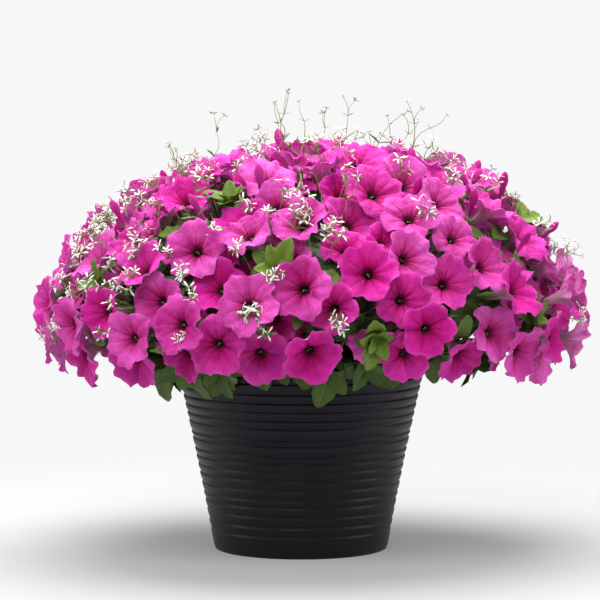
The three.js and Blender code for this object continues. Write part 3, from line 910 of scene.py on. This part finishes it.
def insideRadius(z):
    return potRadius(z) - pot["ribDepth"] - pot["wall"]


# Uneven rounded ribs, with a narrow groove under each
def ribbedRadius(z):
    pitch = (pot["lastRib"] - pot["firstRib"]) / (pot["ribs"] - 1)
    shape = 0
    for k in range(pot["ribs"]):
        groove = pot["firstRib"] + pitch * (k + pot["ribJitter"] * swing(k, 20))
        # the ribs are shallower near the foot
        depth = pot["ribDepth"] * (0.7 + 0.3 * draw(k, 21)) * min(1, 0.75 + 0.03 * k)
        away = (z - groove) / (pot["grooveUnder"] if z < groove else pot["grooveOver"])
        shape -= depth * math.exp(-away * away)
    return potRadius(z) + 0.4 + shape


def potProfile():
    top = pot["height"]
    lipFoot = top - pot["lipHeight"]
    profile = [(0, 0), (pot["padRadius"], 0), (pot["padRadius"] + 2, pot["footHeight"])]
    profile += [(pot["footInner"] - 2, pot["footHeight"]), (pot["footInner"], 0)]
    profile += [(pot["baseRadius"] - 1, 0), (pot["baseRadius"] - 0.2, 0.5)]
    profile.append((potRadius(pot["edge"]), pot["edge"]))
    for z in np.arange(pot["edge"] + 1.5, lipFoot, pot["levelStep"]):
        profile.append((ribbedRadius(z), z))
    out = potRadius(top) + pot["lip"]
    profile += [(potRadius(lipFoot), lipFoot), (out - 0.4, lipFoot + 1.2), (out, lipFoot + 2.2)]
    profile += [(out, top - 1.2), (out - 0.5, top - 0.3), (out - 1.4, top), (out - 6, top)]
    profile += [(out - 7, top - 0.8), (insideRadius(top), top - 4)]
    return profile + [(insideRadius(pot["floor"]), pot["floor"]), (0, pot["floor"])]


def potMaterial():
    material, tree, shader = newMaterial("charcoal_plastic", 0.42, Specular_IOR_Level=0.25)
    place = objectPlace(tree)
    stretch = addNode(tree, "Mapping")
    stretch.inputs["Scale"].default_value = (1, 1, 14)
    tree.links.new(place, stretch.inputs[0])
    streaks = noiseOf(tree, stretch.outputs[0], 30, 4)
    cloud = noiseOf(tree, place, 14, 3)
    grain = noiseOf(tree, place, 900, 2)
    height = addNode(tree, "SeparateXYZ")
    tree.links.new(place, height.inputs[0])
    # painted shade: the charcoal grows darker towards the foot over the pot's lowest 167 mm
    rise = graded(tree, height.outputs[2], 6, 0)
    charcoal = mixColour(tree, cloud, pot["charcoal"], pot["charcoalLight"])
    feed(tree, shader.inputs["Base Color"], mixColour(tree, rise, pot["charcoalFootShade"], charcoal))
    feed(tree, shader.inputs["Roughness"], calc(tree, "MULTIPLY_ADD", streaks, 0.22, 0.33))
    relief = calc(tree, "ADD", times(tree, streaks, 0.8), times(tree, grain, 0.25))
    feed(tree, shader.inputs["Normal"], bumpOf(tree, relief, 0.35, 0.0006))
    return material


def makePotPiece():
    bm = spun(potProfile(), pot["steps"])
    smoothAll(bm)
    finishPiece("ribbed_pot", bm, [potMaterial()], ["pot"])
    print("pot")


makePotPiece()

# Leafy stems
stem = {
    "upper": 4,
    "lower": 10,
    "crownAngle": math.radians(58),
    "upperRing": 42,
    "lowerRing": 70,
    "soilTop": 184,
    "holeDepth": 31,
    "pegRises": (12, 26),  # a trunk stands straight up to this height over the soil
    "forkShare": 0.42,
    "trunkRadii": [3.6, 3.4, 3.0, 2.6],
    "branchRadii": [2.6, 2.4, 2.3, 2.2, 2.2, 2.1, 2.2, 2.6],
    "tuftRadii": [1.5, 1.4, 1.3, 1.2, 1.1],
    "fringeRadii": [1.5, 1.4, 1.3, 1.2, 1.0],
}
leafLook = {
    # Each group's tint sets its green: the leaves deep in the mound and under its rim are painted darker, as
    # painted shade, and the tufts on its surface lighter, as painted light.
    "tuft": {"leaves": 8, "spread": 0.75, "length": 33, "tint": 0.72},
    "tuftDepth": 15,
    "fringe": {"leaves": 5, "spread": 0.75, "length": 36, "tint": 0.26},
    "fringes": 58,
    "fringeReach": (140, 38, 10),  # out to the inner ones, on to the outer ones, and either way at random
    "fringeHeight": (212, 9),
    "fill": {"spots": 640, "depth": (10, 26), "length": 36, "tint": 0.45, "seed": 1000, "limbOnly": False},
    "deepFill": {"spots": 420, "depth": (30, 50), "length": 54, "tint": 0.06, "seed": 3000, "limbOnly": True},
    "near": 70,  # only blooms nearer than this are tested
    "clearBy": 5,  # a leaf that comes nearer to a bloom than this is made shorter, or left out
    "green": (0.088, 0.165, 0.014),
    # a lit and a shaded green, as painted light and painted shade; the shaded green is also the leaves' own
    # mottle
    "litGreen": (0.22, 0.34, 0.032),
    "shadeAndMottleGreen": (0.020, 0.046, 0.007),
    "vein": (0.20, 0.29, 0.07),
}
leafForm = makeBladeForm(8, 4, 0.60, 0.56, 0.86, 0.016)


def leafMaterial():
    material, tree, shader = newMaterial("leaf", 0.5, Sheen_Weight=0.03, Specular_IOR_Level=0.3)
    place, along, aside, tint = markOf(tree)
    # painted light and shade: from the shaded green at tint 0 to the lit green at 1
    green = colourRamp(tree, tint, [
        (0.0, leafLook["shadeAndMottleGreen"]), (0.45, leafLook["green"]), (1.0, leafLook["litGreen"]),
    ])
    mottle = noiseOf(tree, place, 9)
    green = mixColour(tree, graded(tree, mottle, 0.8, -0.2), green, leafLook["shadeAndMottleGreen"])
    wide = calc(tree, "ABSOLUTE", aside)
    midrib = calc(tree, "SUBTRACT", 1, times(tree, wide, 55), clamp=True)
    slant = calc(tree, "SUBTRACT", along, times(tree, wide, 0.9))
    wave = calc(tree, "ABSOLUTE", calc(tree, "SINE", times(tree, slant, 24)))
    sideVeins = calc(tree, "SUBTRACT", 1, times(tree, wave, 9), clamp=True)
    veins = calc(tree, "MAXIMUM", midrib, times(tree, sideVeins, 0.5))
    green = mixColour(tree, times(tree, veins, 0.55), green, leafLook["vein"])
    feed(tree, shader.inputs["Base Color"], green)
    height = calc(tree, "ADD", times(tree, veins, -1), times(tree, mottle, 0.6))
    feed(tree, shader.inputs["Normal"], bumpOf(tree, height, 0.5, 0.0008))
    return material


# Neighbours round the mound, cut into runs of nearly equal length, each with its own turn round the pot
def runsRound(things, count, ring):
    ordered = sorted(things, key=lambda one: one.theta)
    cuts = [math.floor(n * len(ordered) / count + 0.5) for n in range(count + 1)]
    runs = []
    for k in range(count):
        members = ordered[cuts[k]:cuts[k + 1]]
        runs.append(SimpleNamespace(members=members, theta=(k + 0.5) * turn / count, ring=ring))
    return runs


def makePlants():
    upper = [core for core in bunches if core.phi < stem["crownAngle"]]
    lower = [core for core in bunches if core.phi >= stem["crownAngle"]]
    plants = runsRound(upper, stem["upper"], stem["upperRing"])
    plants += runsRound(lower, stem["lower"], stem["lowerRing"])
    for k, plant in enumerate(plants):
        plant.index = k
        plant.bm = bmesh.new()
        for core in plant.members:
            core.plant = plant
    return plants


def addWood(plant):
    top = stem["soilTop"]
    rises = (-stem["holeDepth"], *stem["pegRises"])
    peg = [polar(plant.ring, plant.theta, top + rise) for rise in rises]
    middle = sum(core.foot for core in plant.members) / len(plant.members)
    fork = peg[2] + (middle - peg[2]) * stem["forkShare"] + up * 8
    addTube(plant.bm, [*peg, fork], stem["trunkRadii"], 8, 0.55)
    for core in plant.members:
        end = core.foot
        bend = fork + (end - fork) * 0.55 - core.axis * 7
        tip = core.foot + core.axis * plan["coreLength"]
        addTube(plant.bm, [*bow(fork, bend, end, 7), tip], stem["branchRadii"], 8, 0.5)
        core.node = end + unit(bend - end) * 8


# Whether a leaf's tip would run into the pot's wall
def meetsPot(tip):
    return tip[2] < pot["height"] + 4 and math.hypot(tip[0], tip[1]) < potRadius(tip[2]) + 6


# Whether a straight leaf would run into a bloom
def leafMeetsBloom(base, way, face, size, limbOnly=False):
    side = unit(np.cross(face, way)) * size * 0.24
    middle = base + np.outer(fourths * size, way)
    points = np.vstack([middle, middle[:3] + side, middle[:3] - side])
    return meetsBloom(points, middle[1], leafLook["near"], leafLook["clearBy"], limbOnly)


# A rosette of leaves round a forward direction. The inner ones are smaller and lie closer to it.
def addRosette(plant, base, forward, look, seed):
    for n in range(look["leaves"]):
        u = across(forward, n * goldenAngle + turn * draw(seed, 30))[0]
        inner = n / look["leaves"]
        way = forward + u * look["spread"] * (1.5 - inner) * between(0.8, 1.2, seed, 31 + n)
        size = look["length"] * (1.15 - 0.6 * inner) * between(0.85, 1.1, seed, 41 + n)
        start = base - forward * 3 * (1 - inner) + u * 1.2
        shade = np.clip(look["tint"] + 0.12 * swing(seed, 51 + n) + 0.15 * inner, 0, 1)
        face = forward - u * 0.6
        way = unit(way)
        for reach in (size, 0.8 * size, 0.6 * size):
            if not meetsPot(start + way * reach) and not leafMeetsBloom(start, way, face, reach):
                addBlade(plant.bm, leafForm, start, way, face, reach, shade, droop=0.18, ripple=0.08)
                break


def addTufts():
    for spot in [one for one in spots if one.kind == "tuft"]:
        base = spot.face - spot.normal * leafLook["tuftDepth"]
        plant = spot.bunch.plant
        aside = base - spot.bunch.node
        middle = spot.bunch.node + aside * 0.5 - spot.normal * 4
        addTube(plant.bm, bow(spot.bunch.node, middle, base, 5), stem["tuftRadii"], 6, 0.7)
        addRosette(plant, base, spot.normal, leafLook["tuft"], spot.index)


def addFringe():
    out, on, either = leafLook["fringeReach"]
    height, more = leafLook["fringeHeight"]
    for i in range(leafLook["fringes"]):
        theta = (i + 0.3 * swing(i, 41)) * turn / leafLook["fringes"]
        reach = out + on * (i % 2) + either * swing(i, 42)
        base = polar(reach, theta, height + more * swing(i, 43))
        forward = unit(polar(1, theta, -1.2))
        core = min(bunches, key=lambda one: math.dist(one.node, base))
        middle = (core.node + base) / 2 + up * 5
        addTube(core.plant.bm, bow(core.node, middle, base, 5), stem["fringeRadii"], 6, 0.6)
        addRosette(core.plant, base, forward, leafLook["fringe"], 300 + i)


# Leaves that fill the mound under the blooms, so that it is as dense as the real plant
def addFill(look):
    for spot in moundSpots(look["spots"]):
        i = spot.index + look["seed"]
        spot.phi += 0.05 * swing(i, 21)
        spot.theta += 0.2 * swing(i, 22)
        settleSpot(spot)
        base = spot.face - spot.normal * between(*look["depth"], i, 23)
        u = across(spot.normal, turn * draw(i, 24))[0]
        hang = up * -0.35 * math.sin(spot.phi)
        way = unit(u + spot.normal * between(0.1, 0.7, i, 25) + hang)
        size = look["length"] * between(0.8, 1.15, i, 26)
        shade = np.clip(look["tint"] + 0.25 * swing(i, 27), 0, 1)
        bm = spot.bunch.plant.bm
        for reach in (size, 0.75 * size, 0.5 * size):
            start = base - way * reach * 0.4
            if not leafMeetsBloom(start, way, spot.normal, reach, look["limbOnly"]):
                addBlade(bm, leafForm, start, way, spot.normal, reach, shade, droop=0.12, ripple=0.1)
                break


def makeStemPieces():
    material = leafMaterial()
    for plant in plants:
        addWood(plant)
    addTufts()
    addFringe()
    addFill(leafLook["fill"])
    addFill(leafLook["deepFill"])
    for plant in plants:
        node = numbered("petunia_stem", plant.index)
        finishPiece(numbered("petunia_foliage", plant.index), plant.bm, [material], [node])
    print("foliage pieces:", len(plants))


plants = makePlants()
makeStemPieces()

# Euphorbia
euphorbia = {
    "stems": 8,
    "ring": 18,
    "forkHeight": 22,  # over the soil
    "pegRadii": [2.0, 1.9, 1.6],
    "sprayRadii": [1.1, 1.0, 0.9, 0.8, 0.8, 0.6],
    "twigRadius": 0.6,
    "twigShares": (0.85, 0.7, 0.55),  # of it, at each level
    "twigLeaf": (9, 17),
    "extra": 370,
    "share": 0.48,  # how many of them stand, with more in the drifts and fewer down the mound
    "drift": 0.46,
    "lowShare": 0.6,
    "sunk": 14,  # how deep under the mound's surface a spray forks
    "height": (23, 39),  # of a spray over its fork
    "sideShare": 0.55,  # how much of it is left on the mound's sides
    "wispEvery": 3,
    "wispWidest": math.radians(52),
    "wispHeight": (42, 66),
    "bractLength": 8.0,
    "bracts": (2, 4.9),  # at a twig's end
    "white": (0.92, 0.93, 0.86),
    "greenWhite": (0.52, 0.62, 0.28),
    "dullWhite": (0.7, 0.75, 0.5),
    "stalk": ((0.17, 0.24, 0.05), (0.34, 0.36, 0.12)),
    "leaf": ((0.045, 0.10, 0.015), (0.16, 0.27, 0.05)),
    "leafMidrib": (0.3, 0.4, 0.15),
}
bractForm = makeBladeForm(3, 2, 0.25, 0.9, 1.5, 0.04)
thinLeafForm = makeBladeForm(4, 2, 0.2, 0.9, 0.9, 0.02)


def bractMaterial():
    material, tree, shader = newMaterial("bract", 0.55)
    _, along, _, tint = markOf(tree)
    colour = colourRamp(tree, along, [(0.0, euphorbia["greenWhite"]), (0.3, euphorbia["white"])])
    colour = mixColour(tree, times(tree, tint, 0.25), colour, euphorbia["dullWhite"])
    feed(tree, shader.inputs["Base Color"], colour)
    return material


def thinLeafMaterial():
    material, tree, shader = newMaterial("euphorbia_leaf", 0.5)
    _, _, aside, tint = markOf(tree)
    wide = times(tree, calc(tree, "ABSOLUTE", aside), 40)
    midrib = calc(tree, "SUBTRACT", 1, wide, clamp=True)
    colour = mixColour(tree, tint, *euphorbia["leaf"])
    colour = mixColour(tree, times(tree, midrib, 0.5), colour, euphorbia["leafMidrib"])
    feed(tree, shader.inputs["Base Color"], colour)
    return material


# The white bracts round a twig's end. On a wisp they are still small and green.
def addBracts(bm, end, way, seed, isWisp):
    first = len(bm.faces)
    for n in range(int(between(*euphorbia["bracts"], seed, 80))):
        u = across(way, n * goldenAngle + turn * draw(seed, 81))[0]
        out = unit(way * between(0.1, 0.9, seed, 82 + n) + u)
        size = euphorbia["bractLength"] * between(0.7, 1.15, seed, 92 + n) * (0.55 if isWisp else 1)
        curl = between(-0.1, 0.35, seed, 112 + n)
        addBlade(bm, bractForm, end, out, way, size, draw(seed, 102 + n), fold=0.25, droop=curl)
    paint(bm, first, 2 if isWisp and draw(seed, 79) < 0.6 else 1)


def addTwig(bm, start, way, length, level, seed, isWisp):
    side = across(way, turn * draw(seed, 71))[0]
    end = start + way * length
    middle = start + way * length * 0.5 + side * length * (0.3 if isWisp else 0.16)
    radius = euphorbia["twigRadius"] * euphorbia["twigShares"][level]
    addTube(bm, bow(start, middle, end, 4), [radius, radius, radius * 0.9, radius * 0.8], 4)
    first = len(bm.faces)
    for s in (-1, 1):
        u = across(way, turn * draw(seed, 72))[0] * s
        size = between(*euphorbia["twigLeaf"], seed, 73) / (1 + level)
        addBlade(bm, thinLeafForm, end, way * 0.6 + u, way, size, draw(seed, 74))
    paint(bm, first, 2)
    if level == 2:
        addBracts(bm, end, way, seed, isWisp)
        return
    branches = 1 + (draw(seed, 75) > 0.4) if isWisp else 2 + (draw(seed, 75) > 0.55)
    for n in range(branches):
        u = across(way, n * turn * 0.38 + turn * draw(seed, 76))[0]
        out = unit(way + u * between(0.4, 0.9, seed, 77 + n) * (0.6 if isWisp else 1))
        shorter = length * between(0.8 if isWisp else 0.55, 1.0, seed, 87 + n)
        addTwig(bm, end, out, shorter, level + 1, seed * 3 + n + 7, isWisp)


def addSpray(bm, fork, spot, height, seed, isWisp):
    lean = unit(spot.normal + up * 0.5 + across(spot.normal, turn * draw(seed, 61))[0] * 0.6)
    under = spot.face - spot.normal * 34
    base = spot.face - spot.normal * euphorbia["sunk"]
    middle = fork + (under - fork) * 0.6
    addTube(bm, [*bow(fork, middle, under, 5), base], euphorbia["sprayRadii"], 5)
    addTwig(bm, base, lean, height * 0.5, 0, seed, isWisp)


# Sprays at the frame's exits, and between them more that stand lower, with a few tall wisps over the crown
def spraySpots():
    exits = [spot for spot in spots if spot.kind == "spray"]
    chosen = [SimpleNamespace(spot=spot, seed=spot.index) for spot in exits]
    for spot in moundSpots(euphorbia["extra"]):
        share = euphorbia["share"] + euphorbia["drift"] * math.sin(2 * spot.theta)
        share -= euphorbia["lowShare"] * max(spot.phi - 1, 0)
        if spot.phi < plan["sprayWidest"] and draw(spot.index, 64) < share:
            spot.phi += 0.06 * swing(spot.index, 62)
            spot.theta += 0.15 * swing(spot.index, 63)
            chosen.append(SimpleNamespace(spot=settleSpot(spot), seed=spot.index + 500))
    return chosen


def makeEuphorbiaPieces():
    stalk = speckled("euphorbia_stalk", 0.5, 120, *euphorbia["stalk"])
    materials = [stalk, bractMaterial(), thinLeafMaterial()]
    count = euphorbia["stems"]
    high = stem["soilTop"] + euphorbia["forkHeight"]
    forms = [bmesh.new() for _ in range(count)]
    forks = [polar(euphorbia["ring"], (k + 0.5) * turn / count, high) for k in range(count)]
    for bm, fork in zip(forms, forks):
        peg = fork - up * (euphorbia["forkHeight"] + stem["holeDepth"])
        addTube(bm, [peg, (peg + fork) / 2, fork], euphorbia["pegRadii"], 8)
    for spray in spraySpots():
        spot = spray.spot
        k = int(spot.theta % turn / turn * count)
        isWisp = spot.phi < euphorbia["wispWidest"] and spray.seed % euphorbia["wispEvery"] == 0
        height = between(*euphorbia["height"], spray.seed, 60)
        height *= 1 - (1 - euphorbia["sideShare"]) * math.sin(spot.phi) ** 2
        if isWisp:
            height = between(*euphorbia["wispHeight"], spray.seed, 60) * math.cos(spot.phi)
        addSpray(forms[k], forks[k], spot, height, spray.seed, isWisp)
    for k, bm in enumerate(forms):
        node = numbered("euphorbia_spray", k)
        finishPiece(numbered("euphorbia", k), bm, materials, [node])
    print("euphorbia pieces:", count)


makeEuphorbiaPieces()

# Soil
soil = {
    "top": stem["soilTop"],
    "crown": 7,
    "steps": 72,
    "lumps": (2.2, 1.2),
    "crumbs": 150,
    "crumbSize": (0.9, 2.4),
    "brown": ((0.030, 0.018, 0.010), (0.085, 0.055, 0.032)),
    "perlite": ((0.55, 0.53, 0.48), (0.8, 0.79, 0.75)),
}


def soilMaterial():
    material, tree, shader = newMaterial("potting_mix", 0.95)
    place = objectPlace(tree)
    crumbs = noiseOf(tree, place, 260, 5)
    feed(tree, shader.inputs["Base Color"], mixColour(tree, crumbs, *soil["brown"]))
    feed(tree, shader.inputs["Normal"], bumpOf(tree, crumbs, 1.0, 0.003))
    return material


def makeSoilPiece():
    top = soil["top"]
    edge = insideRadius(top) - 2
    low = insideRadius(pot["floor"]) - 1
    rings = [(edge * share, top + soil["crown"] * (1 - share)) for share in np.linspace(1, 0, 18)]
    bm = spun([(0, pot["floor"] + 0.5), (low, pot["floor"] + 0.5), *rings], soil["steps"])
    large, small = soil["lumps"]
    for v in bm.verts:
        x, y, z = v.co
        if z > top - 1 and math.hypot(x, y) < edge - 2:
            lump = large * math.sin(x * 0.31) * math.sin(y * 0.37)
            v.co.z += lump + small * math.sin(x * 1.1 + y * 0.9)
    smoothAll(bm)
    first = len(bm.faces)
    for k in range(soil["crumbs"]):
        r = (edge - 6) * math.sqrt((k + 0.5) / soil["crumbs"])
        place = polar(r, k * goldenAngle, top + soil["crown"] * (1 - r / edge) + swing(k, 15))
        size = between(*soil["crumbSize"], k, 16)
        crumb = bmesh.ops.create_icosphere(bm, subdivisions=1, radius=size)["verts"]
        bmesh.ops.translate(bm, vec=place, verts=crumb)
    paint(bm, first, 1)
    perlite = speckled("perlite", 0.9, 700, *soil["perlite"])
    finishPiece("potting_soil", bm, [soilMaterial(), perlite], ["soil"])
    print("soil")


makeSoilPiece()

# Floor, light and camera
studio = {
    "floorRadius": 2.6,
    "fadeFrom": 0.35,
    "fadeTo": 1.1,
    "floorGrey": (0.41, 0.41, 0.415),
    "floorGlow": 0.17,
    "backdrop": 0.93,
    "ambient": 0.34,
    "lights": (  # name, place, size and power
        ("key", (-0.4, -1.9, 2.1), 1.4, 37),
        ("top", (0.0, 0.32, 2.3), 2.2, 88),
        ("right", (2.3, -0.4, 0.7), 1.6, 16),
        ("left", (-2.3, -0.4, 0.7), 1.6, 14),
    ),
    "lightsAim": (0, 0, 0.25),
    "cameraAt": (-0.001, -3.0, 0.45),
    "aimAt": (-0.001, 0.0, 0.262),
    "lens": 171,
}


def makeFloor():
    bm = bmesh.new()
    bmesh.ops.create_circle(bm, cap_ends=True, segments=96, radius=studio["floorRadius"])
    material, tree, shader = newMaterial(
        "floor", 0.8, Base_Color=(*studio["floorGrey"], 1), Emission_Color=(1, 0.99, 0.99, 1),
        Emission_Strength=studio["floorGlow"],
    )
    far = addNode(tree, "VectorMath", operation="LENGTH")
    tree.links.new(objectPlace(tree), far.inputs[0])
    fade = addNode(tree, "MapRange", interpolation_type="SMOOTHSTEP")
    feed(tree, fade.inputs["Value"], far.outputs["Value"])
    fade.inputs["From Min"].default_value = studio["fadeFrom"]
    fade.inputs["From Max"].default_value = studio["fadeTo"]
    clear = addNode(tree, "BsdfTransparent")
    mix = addNode(tree, "MixShader")
    tree.links.new(fade.outputs[0], mix.inputs[0])
    tree.links.new(shader.outputs[0], mix.inputs[1])
    tree.links.new(clear.outputs[0], mix.inputs[2])
    tree.links.new(mix.outputs[0], tree.nodes["Material Output"].inputs["Surface"])
    floor = addMesh("floor", bm, [material])


def makeWorld():
    world = bpy.data.worlds.new("studio")
    bpy.context.scene.world = world
    world.use_nodes = True
    tree = world.node_tree
    background = tree.nodes["Background"]
    background.inputs["Color"].default_value = (1, 1, 1.01, 1)
    seen = addNode(tree, "LightPath").outputs["Is Camera Ray"]
    lift = studio["backdrop"] - studio["ambient"]
    feed(tree, background.inputs["Strength"], calc(tree, "MULTIPLY_ADD", seen, lift, studio["ambient"]))


def addAimed(name, data, place, aim):
    made = addObject(name, data)
    made.location = place
    made.rotation_euler = (Vector(aim) - made.location).to_track_quat("-Z", "Y").to_euler()
    return made


def makeLights():
    for name, place, size, power in studio["lights"]:
        light = bpy.data.lights.new(name, "AREA")
        light.shape = "DISK"
        light.size = size
        light.energy = power
        addAimed(name, light, place, studio["lightsAim"])


def makeCamera():
    scene = bpy.context.scene
    lens = bpy.data.cameras.new("camera")
    lens.lens = studio["lens"]
    scene.camera = addAimed("camera", lens, studio["cameraAt"], studio["aimAt"])
    scene.view_settings.view_transform = "Standard"


makeFloor()
makeWorld()
makeLights()
makeCamera()
print("floor, lights and camera")
